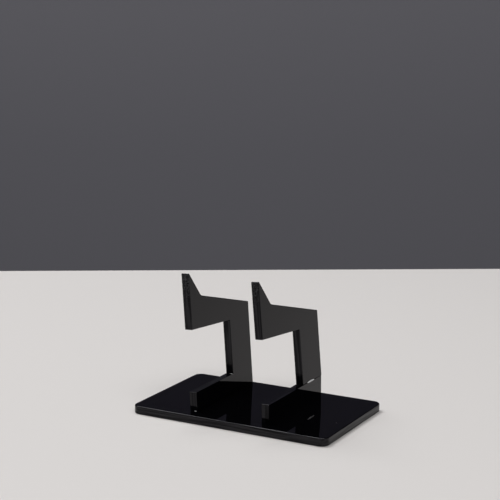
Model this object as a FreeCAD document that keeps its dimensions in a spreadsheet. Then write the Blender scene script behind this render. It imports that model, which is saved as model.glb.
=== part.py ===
import FreeCAD, Part
import enum
import os
import Sketcher
from FreeCAD import Vector

# Desk stand for a game controller, cut from flat sheet with polished edges.
# Millimetres. +Z is up and +Y points to the rear. The origin is on the table, under the middle of the plate.
# A rectangular plate carries two uprights. Each upright is a low foot rail on edge, with a bracket standing
# on the rail's rear end. The bracket's leg, arm and prong are one plate. The controller lies on the two
# arms, which fall to the rear, and leans on the sloping backs of the two prongs.

PARTS_FOLDER = "parts"

# Driving sizes: name, value and what it measures. Lengths are in millimetres, leans in degrees.
SIZES = [
    ("plate_width", 104.0, "base plate, left to right"),
    ("plate_depth", 62.0, "base plate, front to rear"),
    ("plate_thickness", 4.0, "base plate, top to bottom"),
    ("plate_corner_radius", 4.0, "base plate, corners seen from above"),
    ("plate_edge_radius", 0.5, "base plate, polished rim"),
    ("sheet_thickness", 4.0, "rails and brackets, side to side"),
    ("sheet_edge_radius", 0.3, "rails and brackets, polished edges"),
    ("upright_spacing", 38.6, "between the middles of the two uprights"),
    ("upright_offset", -1.65, "middle of the pair from the middle of the plate"),
    ("front_setback", 6.8, "front of the plate to the front of the uprights"),
    ("rail_length", 54.2, "foot rail, front to rear"),
    ("rail_height", 9.1, "foot rail, above the plate"),
    ("leg_depth", 19.2, "bracket leg, front to rear"),
    ("leg_height", 27.3, "rail to the inner corner under the arm"),
    ("arm_underside_rise", 3.0, "inner corner to the prong's lower end"),
    ("prong_height", 27.0, "front face, lower end to tip"),
    ("prong_tip_depth", 0.8, "flat on the tip, front to rear"),
    ("prong_root_depth", 10.0, "front face to the foot of the prong's slope"),
    ("seat_height", 14.7, "prong's lower end to the foot of its slope"),
    ("seat_fall", 12.3, "foot of the slope down to the arm's rear corner"),
    ("seat_fillet_radius", 3.8, "between the prong's slope and the arm's top"),
    ("inner_corner_radius", 0.6, "between the leg and the arm's underside"),
    ("left_rail_lean", 3.5, "left upright, away from the right one"),
    ("right_bracket_lean", 4.5, "right bracket on its rail, towards the left one"),
    ("right_bracket_turn", 1.1, "right bracket on its rail, seen from above, prong to the left"),
]

# A rounded edge takes at most this share of the sheet, so that both faces keep a flat.
LARGEST_ROUNDING = 0.4

# Tolerance for telling a flat position, in millimetres.
TOUCH = 1e-4


class Sketch(enum.IntEnum):
    """The sketcher's own numbers for its axes and for the ends of a line."""

    X_AXIS = -1
    Y_AXIS = -2
    START = 1
    END = 2


def make_sheet(doc):
    """The table of driving sizes. Every other size is worked out from its cells."""
    sheet = doc.addObject("Spreadsheet::Sheet", "Sizes")
    for row, (name, value, note) in enumerate(SIZES, start=1):
        sheet.set("A%d" % row, name)
        sheet.set("B%d" % row, str(value))
        sheet.set("C%d" % row, note)
        sheet.setAlias("B%d" % row, name)
    doc.recompute()
    return sheet


def make_body(doc, name):
    body = doc.addObject("PartDesign::Body", name)
    body.Label = name
    return body


def make_sketch(body, name, plane_role):
    """A sketch on one of the body's own origin planes."""
    sketch = body.newObject("Sketcher::SketchObject", name)
    plane = next(item for item in body.Origin.OriginFeatures if item.Role == plane_role)
    sketch.AttachmentSupport = [(plane, "")]
    sketch.MapMode = "FlatFace"
    return sketch


def hold_corner(sketch, line, kind, axis, expression):
    """Hold a line's start on an axis, where the expression is None, or at a distance from the origin."""
    if expression is None:
        sketch.addConstraint(Sketcher.Constraint("PointOnObject", line, Sketch.START, axis))
        return
    distance = sketch.evalExpression(expression)
    origin = (Sketch.X_AXIS, Sketch.START)
    row = sketch.addConstraint(Sketcher.Constraint(kind, *origin, line, Sketch.START, distance))
    sketch.setExpression("Constraints[%d]" % row, expression)


def draw_profile(sketch, corners):
    """A closed outline through the corners. Each corner is two expressions: along the sketch, and up it."""
    points = []
    for along, up in corners:
        across = sketch.evalExpression(along) if along else 0.0
        height = sketch.evalExpression(up) if up else 0.0
        points.append(Vector(across, height, 0.0))
    lines = []
    for start, end in zip(points, points[1:] + points[:1]):
        lines.append(sketch.addGeometry(Part.LineSegment(start, end), False))
    for line, following in zip(lines, lines[1:] + lines[:1]):
        sketch.addConstraint(Sketcher.Constraint("Coincident", line, Sketch.END, following, Sketch.START))
    for line, (along, up) in zip(lines, corners):
        hold_corner(sketch, line, "DistanceX", Sketch.Y_AXIS, along)
        hold_corner(sketch, line, "DistanceY", Sketch.X_AXIS, up)


def make_pad(body, sketch, name, length):
    pad = body.newObject("PartDesign::Pad", name)
    pad.Profile = sketch
    pad.setExpression("Length", length)
    body.Document.recompute()
    return pad


def make_fillet(body, feature, name, wanted, radius):
    """Round the edges of the feature that the wanted test picks."""
    edges = feature.Shape.Edges
    names = ["Edge%d" % (row + 1) for row, edge in enumerate(edges) if wanted(edge)]
    fillet = body.newObject("PartDesign::Fillet", name)
    fillet.Base = (feature, names)
    fillet.setExpression("Radius", radius)
    body.Document.recompute()
    return fillet


def runs_along(edge, direction):
    """Whether a straight edge runs along the direction."""
    ends = [vertex.Point for vertex in edge.Vertexes]
    if len(ends) < 2:
        return False
    span = ends[1] - ends[0]
    return span.cross(direction).Length < TOUCH


def lies_at_foot(edge):
    """Whether an edge lies in the plane that the piece stands on."""
    return edge.BoundBox.ZMax < TOUCH


def lies_at_front(edge):
    """Whether an edge lies in the front plane of an upright's piece."""
    return edge.BoundBox.YMax < TOUCH


def rounding(radius, thickness):
    """A radius for a rounded edge that leaves a flat on a thin sheet."""
    return "min(Sizes.%s; %g * Sizes.%s)" % (radius, LARGEST_ROUNDING, thickness)


def make_base_plate(doc):
    """The flat plate: a rectangle about the origin with round corners and a polished rim."""
    body = make_body(doc, "base_plate")
    sketch = make_sketch(body, "plate_outline", "XY_Plane")
    draw_profile(sketch, [
        ("-Sizes.plate_width / 2", "-Sizes.plate_depth / 2"),
        ("Sizes.plate_width / 2", "-Sizes.plate_depth / 2"),
        ("Sizes.plate_width / 2", "Sizes.plate_depth / 2"),
        ("-Sizes.plate_width / 2", "Sizes.plate_depth / 2"),
    ])
    pad = make_pad(body, sketch, "plate", "Sizes.plate_thickness")
    upright = Vector(0, 0, 1)
    corners = make_fillet(body, pad, "plate_corners", lambda edge: runs_along(edge, upright),
                          "Sizes.plate_corner_radius")
    make_fillet(body, corners, "plate_rim", lambda edge: not runs_along(edge, upright),
                rounding("plate_edge_radius", "plate_thickness"))
    return body


def make_foot_rail(doc, side):
    """A straight strip on edge. Its own frame starts at its lower left front corner.

    The long edges of its top stay sharp, so that the bracket meets it without a groove.
    """
    body = make_body(doc, side + "_foot_rail")
    sketch = make_sketch(body, side + "_rail_outline", "YZ_Plane")
    draw_profile(sketch, [
        (None, None),
        ("Sizes.rail_length", None),
        ("Sizes.rail_length", "Sizes.rail_height"),
        (None, "Sizes.rail_height"),
    ])
    pad = make_pad(body, sketch, side + "_rail", "Sizes.sheet_thickness")
    upright = Vector(0, 0, 1)

    def is_open_edge(edge):
        return runs_along(edge, upright) or (lies_at_front(edge) and not lies_at_foot(edge))

    make_fillet(body, pad, side + "_rail_edges", is_open_edge, rounding("sheet_edge_radius", "sheet_thickness"))
    return body


def make_bracket(doc, side):
    """Leg, arm and prong in one plate. Its own frame starts level with the rail's front, on the rail's top."""
    body = make_body(doc, side + "_bracket")
    sketch = make_sketch(body, side + "_bracket_outline", "YZ_Plane")
    rear = "Sizes.rail_length"
    leg_front = "Sizes.rail_length - Sizes.leg_depth"
    inner_corner = "Sizes.leg_height"
    prong_bottom = inner_corner + " + Sizes.arm_underside_rise"
    prong_tip = prong_bottom + " + Sizes.prong_height"
    seat_front = prong_bottom + " + Sizes.seat_height"
    seat_rear = seat_front + " - Sizes.seat_fall"
    draw_profile(sketch, [
        (leg_front, None),
        (rear, None),
        (rear, seat_rear),
        ("Sizes.prong_root_depth", seat_front),
        ("Sizes.prong_tip_depth", prong_tip),
        (None, prong_tip),
        (None, prong_bottom),
        (leg_front, inner_corner),
    ])
    pad = make_pad(body, sketch, side + "_bracket_plate", "Sizes.sheet_thickness")
    across = Vector(1, 0, 0)

    def at_corner(along, up):
        """A test for the edge across the sheet at one corner of the outline."""
        corner = Vector(0, sketch.evalExpression(along), sketch.evalExpression(up))
        return lambda edge: runs_along(edge, across) and edge.distToShape(Part.Vertex(corner))[0] < TOUCH

    seat = make_fillet(body, pad, side + "_seat_fillet", at_corner("Sizes.prong_root_depth", seat_front),
                       "Sizes.seat_fillet_radius")
    inner = make_fillet(body, seat, side + "_inner_corner", at_corner(leg_front, inner_corner),
                        "Sizes.inner_corner_radius")
    make_fillet(body, inner, side + "_bracket_edges", lambda edge: not lies_at_foot(edge),
                rounding("sheet_edge_radius", "sheet_thickness"))
    return body


def stand(body, place, lean, turn="0"):
    """Place a piece by its lower left front corner. It leans to the left about its lower left edge.

    The turn is about the middle of the leg's foot, seen from above.
    """
    foot = "Sizes.rail_length - Sizes.leg_depth / 2"
    turned = "placement(vector(0; %s; 0); rotation(vector(0; 0; 1); -(%s)))" % (foot, turn)
    leaning = "placement(vector(0; -(%s); 0); rotation(vector(0; 1; 0); -(%s)))" % (foot, lean)
    body.setExpression("Placement", "%s * %s * %s" % (place, turned, leaning))


def main():
    doc = FreeCAD.newDocument("ControllerStand")
    make_sheet(doc)
    plate = make_base_plate(doc)
    bodies = [plate]
    leans = {"left": ("Sizes.left_rail_lean", "0"), "right": ("0", "Sizes.right_bracket_lean")}
    turns = {"left": "0", "right": "Sizes.right_bracket_turn"}
    sides = {"left": "-", "right": "+"}
    for side, sign in sides.items():
        rail = make_foot_rail(doc, side)
        bracket = make_bracket(doc, side)
        rail_lean, bracket_lean = leans[side]
        left_face = "Sizes.upright_offset %s Sizes.upright_spacing / 2 - Sizes.sheet_thickness / 2" % sign
        front = "Sizes.front_setback - Sizes.plate_depth / 2"
        stand(rail, "placement(vector(%s; %s; Sizes.plate_thickness); rotation(vector(0; 1; 0); 0))"
              % (left_face, front), rail_lean)
        stand(bracket, "%s.Placement * placement(vector(0; 0; Sizes.rail_height); rotation(vector(0; 1; 0); 0))"
              % rail.Name, bracket_lean, turns[side])
        bodies += [rail, bracket]
    doc.recompute()
    check(doc, bodies)
    write_parts(bodies)


def check(doc, bodies):
    """Stop before anything is written if a feature failed or a solid isn't sound."""
    for item in doc.Objects:
        if "Invalid" in item.State or "Error" in item.State:
            raise RuntimeError("%s did not compute: %s" % (item.Label, item.State))
    for body in bodies:
        if body.Shape.isNull() or not body.Shape.isValid() or len(body.Shape.Solids) != 1:
            raise RuntimeError("%s is not one sound solid" % body.Label)


def write_parts(bodies):
    os.makedirs(PARTS_FOLDER, exist_ok=True)
    for body in bodies:
        body.Shape.exportStep(os.path.join(PARTS_FOLDER, body.Label + ".step"))
        box = body.Shape.BoundBox
        print("%-16s %8.1f mm3  x %.2f..%.2f  y %.2f..%.2f  z %.2f..%.2f" % (
            body.Label, body.Shape.Volume, box.XMin, box.XMax, box.YMin, box.YMax, box.ZMin, box.ZMax))


main()
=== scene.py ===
import math

import bmesh
import bpy
from mathutils import Matrix, Vector


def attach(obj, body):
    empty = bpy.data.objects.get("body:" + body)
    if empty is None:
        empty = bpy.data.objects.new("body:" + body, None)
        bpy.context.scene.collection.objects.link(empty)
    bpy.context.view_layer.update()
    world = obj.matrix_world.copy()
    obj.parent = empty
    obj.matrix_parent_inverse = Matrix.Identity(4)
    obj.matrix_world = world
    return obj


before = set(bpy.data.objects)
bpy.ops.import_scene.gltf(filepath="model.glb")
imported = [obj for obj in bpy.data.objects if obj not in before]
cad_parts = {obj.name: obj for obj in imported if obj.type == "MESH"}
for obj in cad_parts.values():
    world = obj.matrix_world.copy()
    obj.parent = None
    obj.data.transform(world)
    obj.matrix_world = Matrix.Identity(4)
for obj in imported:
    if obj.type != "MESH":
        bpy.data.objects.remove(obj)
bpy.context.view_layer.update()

# A desk stand for a game controller, in polished black sheet, on a pale table before a grey wall.
# Metres, in the part's own frame: +Z up, +Y to the rear.

MM = 0.001

# Camera: the photograph's viewpoint, fitted to the edges of the plate and the uprights.
CAMERA_PLACE = Vector((0.31656, -0.57166, 0.21460))
CAMERA_AZIMUTH = 29.25
CAMERA_DOWN = 11.66
CAMERA_ROLL = -0.25
CAMERA_LENS = 101.76
CAMERA_CLIP = (0.01, 50.0)
SENSOR_WIDTH = 36.0

# Stage: the table's rear edge, and a wall some way behind it.
TABLE_HALF = 4.0
TABLE_REAR = 0.317
TABLE_COLOUR = (0.69, 0.668, 0.650, 1.0)
TABLE_ROUGHNESS = 0.6
TABLE_GLOSS = 0.15
WALL_DISTANCE = 0.95
WALL_TOP, WALL_BOTTOM = 2.4, -1.0
# Wall colours below and above the fade. The darker upper one is painted shade, for the plate to
# reflect.
WALL_AND_SHADE_COLOURS = ((0.204, 0.202, 0.222, 1.0), (0.082, 0.078, 0.104, 1.0))
WALL_SHADE_FADE = (0.16, 0.29)

# Lights: place, target, side, power, colour.
LIGHTS = {
    "main": ((-0.95, 0.45, 1.55), (0.0, 0.0, 0.0), 1.3, 43.0, (1.0, 1.0, 1.0)),
    "fill": ((0.75, -0.6, 1.5), (0.0, 0.0, 0.03), 0.9, 13.0, (1.0, 0.99, 0.98)),
}
WORLD_COLOUR = (0.14, 0.14, 0.15, 1.0)

# Sheet material. Gloss is the shader's specular level.
BLACK = (0.0008, 0.0008, 0.0011, 1.0)
SHEET_IOR = 1.49
PLATE_GLOSS = 0.27
UPRIGHT_GLOSS = 0.225
POLISH_TINT = (0.96, 0.94, 1.0, 1.0)
FACE_ROUGHNESS = (0.008, 0.035)
RELIEF_DEPTH = 0.012 * MM
WAVE_SCALE, WAVE_RELIEF = 38.0, 0.6
WIPE_SCALE, WIPE_STRETCH, WIPE_TURN = 60.0, (1.0, 0.35, 1.0), (0.0, 0.0, 24.0)

# Cut edges. The band is the share of the normal that lies across the sheet, from edge to face.
EDGE_BAND = (0.80, 0.95)
EDGE_ROUGHNESS = (0.05, 0.14)
EDGE_GLOSS = (0.62, 1.25)
EDGE_HAZE = (0.0050, 0.0050, 0.0062, 1.0)
MARK_SCALE, MARK_RUN = 2600.0, 0.12
MARK_SHARE, MARK_RELIEF = 0.35, 0.25
CHATTER_SCALE = 420.0
STREAK_SCALE, STREAK_RUN = 1100.0, 0.04

# Frost near the tips of the prongs, on what faces the front: a speckled grain that is also a
# painted reflection, with the fronts lighter towards the tips.
FROST_AND_SHEEN = (0.046, 0.046, 0.048, 1.0)
FROST_SCALE = 1500.0
FROST_AND_SHEEN_HEIGHT = (0.053, 0.066)
FROST_AND_SHEEN_FACING = (-0.8, -0.2)

# Hairlines: turn in degrees, spacing, shift.
HAIRLINES = (((0.0, 0.0, 31.0), 0.0012, 0.13), ((12.0, 0.0, -52.0), 0.0016, 0.71))
HAIRLINE_STRETCH = (1.0, 0.03, 1.0)
HAIRLINE_WIDTH = 0.004
HAIRLINE_PATCHES = 45.0
HAIRLINE_ROUGHNESS, HAIRLINE_RELIEF = 0.22, 0.03

# Dust: cells per metre, the share of them left empty, the specks' sizes as shares of a cell.
DUST_CELLS = 260.0
DUST_EMPTY = 0.80
DUST_SMALLEST, DUST_SPREAD, DUST_SOFT = 0.012, 0.035, 0.01
DUST_ROUGHNESS = 0.8
DUST_COLOUR = (0.22, 0.21, 0.20, 1.0)

# Leans of the uprights, in degrees to the left.
LEFT_LEAN = 3.5
RIGHT_BRACKET_LEAN = 4.5

# Beads of bonding cement, in millimetres: centre, half sizes. Their whitish colour also paints
# the bright glints at the seams.
BOND_BEADS = {
    "right_seam_bond": ((19.52, 18.7, 13.26), (0.44, 3.8, 0.42)),
    "left_seam_bond": ((-20.25, 10.66, 13.24), (0.80, 0.20, 0.12)),
    "left_foot_bond": ((-20.1, -24.2, 4.06), (0.55, 0.14, 0.10)),
}
BEAD_UNEVEN = 0.12
# Cement colours, whitish: the cement itself, and a painted highlight that stands in for the
# glints at the seams.
CEMENT_AND_GLINT_COLOURS = ((0.74, 0.75, 0.76, 1.0), (0.94, 0.94, 0.93, 1.0))
CEMENT_SCALE = 900.0
CEMENT_ROUGHNESS = (0.10, 0.28)
CEMENT_RELIEF = 0.05 * MM


class Graph:
    """Short forms for building a shader from nodes."""

    def __init__(self, name, shader):
        self.material = bpy.data.materials.new(name)
        self.material.use_nodes = True
        self.tree = self.material.node_tree
        self.tree.nodes.clear()
        self.shader = self.node(shader)
        output = self.node("ShaderNodeOutputMaterial")
        self.put(output.inputs[0], self.shader.outputs[0])

    def node(self, kind, **settings):
        made = self.tree.nodes.new(kind)
        for key, value in settings.items():
            setattr(made, key, value)
        return made

    def put(self, socket, value):
        if isinstance(value, bpy.types.NodeSocket):
            self.tree.links.new(value, socket)
        else:
            socket.default_value = value

    def paint(self, name, value):
        """Set one of the shader's own sockets."""
        self.put(self.shader.inputs[name], value)

    def math(self, operation, *values):
        made = self.node("ShaderNodeMath", operation=operation)
        for socket, value in zip(made.inputs, values):
            self.put(socket, value)
        return made.outputs[0]

    def between(self, value, low, high, to_low=0.0, to_high=1.0):
        """The value, rescaled from one range to another and held inside it."""
        made = self.node("ShaderNodeMapRange", interpolation_type="SMOOTHSTEP")
        for name, number in zip(("Value", "From Min", "From Max", "To Min", "To Max"),
                                (value, low, high, to_low, to_high)):
            self.put(made.inputs[name], number)
        return made.outputs[0]

    def noise(self, point, scale, detail, roughness=0.5):
        made = self.node("ShaderNodeTexNoise")
        for name, value in (("Vector", point), ("Scale", scale), ("Detail", detail),
                            ("Roughness", roughness)):
            self.put(made.inputs[name], value)
        return made.outputs["Fac"]

    def blend(self, share, first, second):
        made = self.node("ShaderNodeMix", data_type="RGBA")
        self.put(made.inputs[0], share)
        self.put(made.inputs[6], first)
        self.put(made.inputs[7], second)
        return made.outputs[2]

    def split(self, vector, kind="ShaderNodeSeparateXYZ"):
        made = self.node(kind)
        self.put(made.inputs[0], vector)
        return made.outputs

    def joined(self, x, y):
        made = self.node("ShaderNodeCombineXYZ")
        self.put(made.inputs[0], x)
        self.put(made.inputs[1], y)
        return made.outputs[0]

    def turned(self, point, degrees):
        made = self.node("ShaderNodeMapping")
        self.put(made.inputs["Vector"], point)
        made.inputs["Rotation"].default_value = [math.radians(angle) for angle in degrees]
        return made.outputs[0]

    def stretched(self, point, scale, degrees):
        """The point, turned and then stretched."""
        made = self.node("ShaderNodeMapping")
        self.put(made.inputs["Vector"], self.turned(point, degrees))
        made.inputs["Scale"].default_value = scale
        return made.outputs[0]

    def bump(self, height, strength, depth):
        made = self.node("ShaderNodeBump")
        made.inputs["Strength"].default_value = strength
        made.inputs["Distance"].default_value = depth
        self.put(made.inputs["Height"], height)
        self.paint("Normal", made.outputs[0])


def scratches(graph, point, turn, spacing, shift):
    """Thin hairlines along one direction, broken up along their length."""
    moved = graph.node("ShaderNodeVectorMath", operation="ADD")
    graph.put(moved.inputs[0], point)
    moved.inputs[1].default_value = (shift, -shift, 0.5 * shift)
    stretched = graph.stretched(moved.outputs[0], HAIRLINE_STRETCH, turn)
    lines = graph.noise(stretched, 1.0 / spacing, 1.0)
    off_line = graph.math("ABSOLUTE", graph.math("SUBTRACT", lines, 0.5))
    thin = graph.between(off_line, 0.0, HAIRLINE_WIDTH, 1.0, 0.0)
    patches = graph.between(graph.noise(moved.outputs[0], HAIRLINE_PATCHES, 1.0), 0.55, 0.66)
    return graph.math("MULTIPLY", thin, patches)


def dust_specks(graph, point, upward):
    """A few small specks, on what faces up."""
    cells = graph.node("ShaderNodeTexVoronoi", feature="F1")
    graph.put(cells.inputs["Vector"], point)
    cells.inputs["Scale"].default_value = DUST_CELLS
    cell = graph.split(cells.outputs["Color"], "ShaderNodeSeparateColor")
    filled = graph.math("GREATER_THAN", cell[0], DUST_EMPTY)
    size = graph.math("MULTIPLY_ADD", cell[1], DUST_SPREAD, DUST_SMALLEST)
    outside = graph.math("SUBTRACT", cells.outputs["Distance"], size)
    speck = graph.between(outside, -DUST_SOFT, DUST_SOFT, 1.0, 0.0)
    return graph.math("MULTIPLY", graph.math("MULTIPLY", filled, speck),
                      graph.between(upward, 0.6, 0.9))


def edge_texture(graph, place, normal, across):
    """Cut marks, chatter and streaks, for the edges of a sheet."""
    first, second = [axis for axis in range(3) if axis != across]
    along = graph.math("SUBTRACT",
                       graph.math("MULTIPLY", place[first], normal[second]),
                       graph.math("MULTIPLY", place[second], normal[first]))
    # Cut marks run through the thickness and follow each other along the edge.
    run = graph.joined(along, graph.math("MULTIPLY", place[across], MARK_RUN))
    marks = graph.noise(run, MARK_SCALE, 2.0, 0.6)
    chatter = graph.noise(run, CHATTER_SCALE, 1.0)
    # Flame polish leaves soft streaks along the edge.
    streak = graph.joined(place[across], graph.math("MULTIPLY", along, STREAK_RUN))
    return marks, chatter, graph.noise(streak, STREAK_SCALE, 1.0)


def sheet_material(name, across, gloss, lean=0.0):
    """Polished black sheet. Across is the axis through its thickness, 0 for X and 2 for Z."""
    graph = Graph(name, "ShaderNodeBsdfPrincipled")
    point = graph.turned(graph.node("ShaderNodeTexCoord").outputs["Object"], (0.0, lean, 0.0))
    normal = graph.split(graph.node("ShaderNodeNewGeometry").outputs["Normal"])
    place = graph.split(point)
    edge = graph.between(graph.math("ABSOLUTE", normal[across]), *EDGE_BAND, 1.0, 0.0)
    face = graph.math("SUBTRACT", 1.0, edge)
    marks, chatter, streaks = edge_texture(graph, place, normal, across)

    # Polished faces have slow waves, faint wipe marks, hairlines and a little dust.
    waves = graph.noise(point, WAVE_SCALE, 1.0)
    wipes = graph.noise(graph.stretched(point, WIPE_STRETCH, WIPE_TURN), WIPE_SCALE, 3.0, 0.6)
    hairlines = graph.math("MAXIMUM", *[scratches(graph, point, *line) for line in HAIRLINES])
    dust = dust_specks(graph, point, normal[2])

    face_rough = graph.between(wipes, 0.35, 0.75, *FACE_ROUGHNESS)
    edge_rough = graph.between(marks, 0.3, 0.7, *EDGE_ROUGHNESS)
    rough = graph.math("ADD", graph.math("MULTIPLY", face_rough, face),
                       graph.math("MULTIPLY", edge_rough, edge))
    rough = graph.math("MAXIMUM", rough, graph.math("MULTIPLY", hairlines, HAIRLINE_ROUGHNESS))
    rough = graph.math("MAXIMUM", rough, graph.math("MULTIPLY", dust, DUST_ROUGHNESS))

    edge_relief = graph.math("MULTIPLY", edge,
                             graph.math("MULTIPLY_ADD", marks, MARK_SHARE, chatter))
    height = graph.math("ADD", graph.math("MULTIPLY", waves, WAVE_RELIEF),
                        graph.math("MULTIPLY", edge_relief, MARK_RELIEF))
    height = graph.math("SUBTRACT", height, graph.math("MULTIPLY", hairlines, HAIRLINE_RELIEF))

    # Frost and haze lift the black of the edges, and the edges' gloss follows the streaks. The
    # frost also paints a reflection: the front faces get lighter towards the prongs' tips.
    grain = graph.between(graph.noise(point, FROST_SCALE, 1.0), 0.42, 0.68)
    # Painted reflection: lighter with height, and only on faces that face the front.
    frost_and_sheen = graph.math("MULTIPLY", grain, graph.between(place[2], *FROST_AND_SHEEN_HEIGHT))
    frost_and_sheen = graph.math("MULTIPLY", frost_and_sheen, graph.between(normal[1], *FROST_AND_SHEEN_FACING, 1.0, 0.0))
    haze_and_sheen = graph.math("MULTIPLY", edge,
                      graph.math("MAXIMUM", frost_and_sheen, graph.between(streaks, 0.40, 0.66)))
    edge_gloss = graph.between(streaks, 0.42, 0.58, *EDGE_GLOSS)
    shine = graph.math("ADD", face, graph.math("MULTIPLY", edge, edge_gloss))
    body = graph.blend(haze_and_sheen, BLACK, graph.blend(frost_and_sheen, EDGE_HAZE, FROST_AND_SHEEN))

    graph.paint("Base Color", graph.blend(dust, body, DUST_COLOUR))
    graph.paint("Roughness", rough)
    graph.bump(height, 1.0, RELIEF_DEPTH)
    graph.paint("IOR", SHEET_IOR)
    graph.paint("Specular IOR Level", graph.math("MULTIPLY", shine, gloss))
    graph.paint("Specular Tint", POLISH_TINT)
    return graph.material


def cement_and_glint_material():
    """Dried cement: milky, glossy and a little uneven, and light enough that it also paints the
    glints at the seams.
    """
    graph = Graph("dried_cement_and_painted_glint", "ShaderNodeBsdfPrincipled")
    point = graph.node("ShaderNodeTexCoord").outputs["Object"]
    cloud = graph.noise(point, CEMENT_SCALE, 2.0)
    graph.paint("Base Color", graph.blend(graph.between(cloud, 0.35, 0.65), *CEMENT_AND_GLINT_COLOURS))
    graph.paint("Roughness", graph.between(cloud, 0.3, 0.7, *CEMENT_ROUGHNESS))
    graph.bump(cloud, 0.5, CEMENT_RELIEF)
    return graph.material


def table_material():
    graph = Graph("pale_table", "ShaderNodeBsdfPrincipled")
    graph.paint("Base Color", TABLE_COLOUR)
    graph.paint("Roughness", TABLE_ROUGHNESS)
    graph.paint("Specular IOR Level", TABLE_GLOSS)
    return graph.material


def wall_and_shade_material():
    """Grey paint that gets darker above the height that the camera sees: painted shade there, for
    the plate to reflect.
    """
    graph = Graph("grey_wall_and_painted_shade", "ShaderNodeBsdfDiffuse")
    height = graph.split(graph.node("ShaderNodeNewGeometry").outputs["Position"])[2]
    graph.paint("Color", graph.blend(graph.between(height, *WALL_SHADE_FADE), *WALL_AND_SHADE_COLOURS))
    return graph.material


def dress(node, material):
    """Give a carried-over part its material."""
    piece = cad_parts[node]
    piece.data.materials.clear()
    piece.data.materials.append(material)


def placed(name, data):
    made = bpy.data.objects.new(name, data)
    bpy.context.scene.collection.objects.link(made)
    return made


def bond_bead(name, centre, half_sizes, material):
    """A bead of cement squeezed out of a seam: a long drop that tapers to both ends."""
    shape = bmesh.new()
    bmesh.ops.create_icosphere(shape, subdivisions=4, radius=1.0)
    for vertex in shape.verts:
        wave = math.sin(5.0 * vertex.co.x + 3.0 * vertex.co.y + 1.3)
        uneven = 1.0 + BEAD_UNEVEN * wave
        vertex.co = Vector([MM * (middle + half * uneven * share)
                            for middle, half, share in zip(centre, half_sizes, vertex.co)])
    for face in shape.faces:
        face.smooth = True
    mesh = bpy.data.meshes.new(name)
    shape.to_mesh(mesh)
    shape.free()
    mesh.materials.append(material)
    made = placed(name, mesh)
    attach(made, "root")


def quad(name, corners, material):
    mesh = bpy.data.meshes.new(name)
    mesh.from_pydata(corners, [], [(0, 1, 2, 3)])
    mesh.materials.append(material)
    made = placed(name, mesh)


def make_stage():
    """A table that ends behind the stand, and a grey wall, both square to the camera."""
    azimuth = math.radians(CAMERA_AZIMUTH)
    away = Vector((-math.sin(azimuth), math.cos(azimuth), 0.0))
    side = Vector((math.cos(azimuth), math.sin(azimuth), 0.0)) * TABLE_HALF
    near, rear, wall = -away * TABLE_HALF, away * TABLE_REAR, away * WALL_DISTANCE
    quad("table", [near - side, near + side, rear + side, rear - side], table_material())
    low, high = Vector((0.0, 0.0, WALL_BOTTOM)), Vector((0.0, 0.0, WALL_TOP))
    quad("wall", [wall - side + low, wall + side + low, wall + side + high, wall - side + high],
         wall_and_shade_material())


def area_light(name, place, target, side, power, colour):
    data = bpy.data.lights.new(name, "AREA")
    data.shape = "SQUARE"
    data.size = side
    data.energy = power
    data.color = colour
    made = placed(name, data)
    made.location = place
    made.rotation_mode = "QUATERNION"
    made.rotation_quaternion = (Vector(target) - Vector(place)).to_track_quat("-Z", "Y")


def make_lights():
    for name, settings in LIGHTS.items():
        area_light(name, *settings)
    world = bpy.data.worlds.new("studio")
    world.use_nodes = True
    background = world.node_tree.nodes["Background"]
    background.inputs["Color"].default_value = WORLD_COLOUR
    background.inputs["Strength"].default_value = 1.0
    bpy.context.scene.world = world


def make_camera():
    data = bpy.data.cameras.new("camera")
    data.lens = CAMERA_LENS
    data.sensor_width = SENSOR_WIDTH
    data.clip_start, data.clip_end = CAMERA_CLIP
    made = placed("camera", data)
    turn = (Matrix.Rotation(math.radians(CAMERA_AZIMUTH), 4, "Z")
            @ Matrix.Rotation(math.radians(90.0 - CAMERA_DOWN), 4, "X")
            @ Matrix.Rotation(math.radians(CAMERA_ROLL), 4, "Z"))
    made.matrix_world = Matrix.Translation(CAMERA_PLACE) @ turn
    bpy.context.scene.camera = made


dress("base_plate", sheet_material("plate_sheet", 2, PLATE_GLOSS))
left_sheet = sheet_material("left_sheet", 0, UPRIGHT_GLOSS, LEFT_LEAN)
dress("left_foot_rail", left_sheet)
dress("left_bracket", left_sheet)
dress("right_foot_rail", sheet_material("right_rail_sheet", 0, UPRIGHT_GLOSS))
dress("right_bracket",
      sheet_material("right_bracket_sheet", 0, UPRIGHT_GLOSS, RIGHT_BRACKET_LEAN))
# The cement's whitish colour also paints the glints at the seams.
cement_and_glint = cement_and_glint_material()
for name, (centre, half_sizes) in BOND_BEADS.items():
    bond_bead(name, centre, half_sizes, cement_and_glint)
make_stage()
make_lights()
make_camera()
bpy.context.scene.view_settings.view_transform = "Standard"
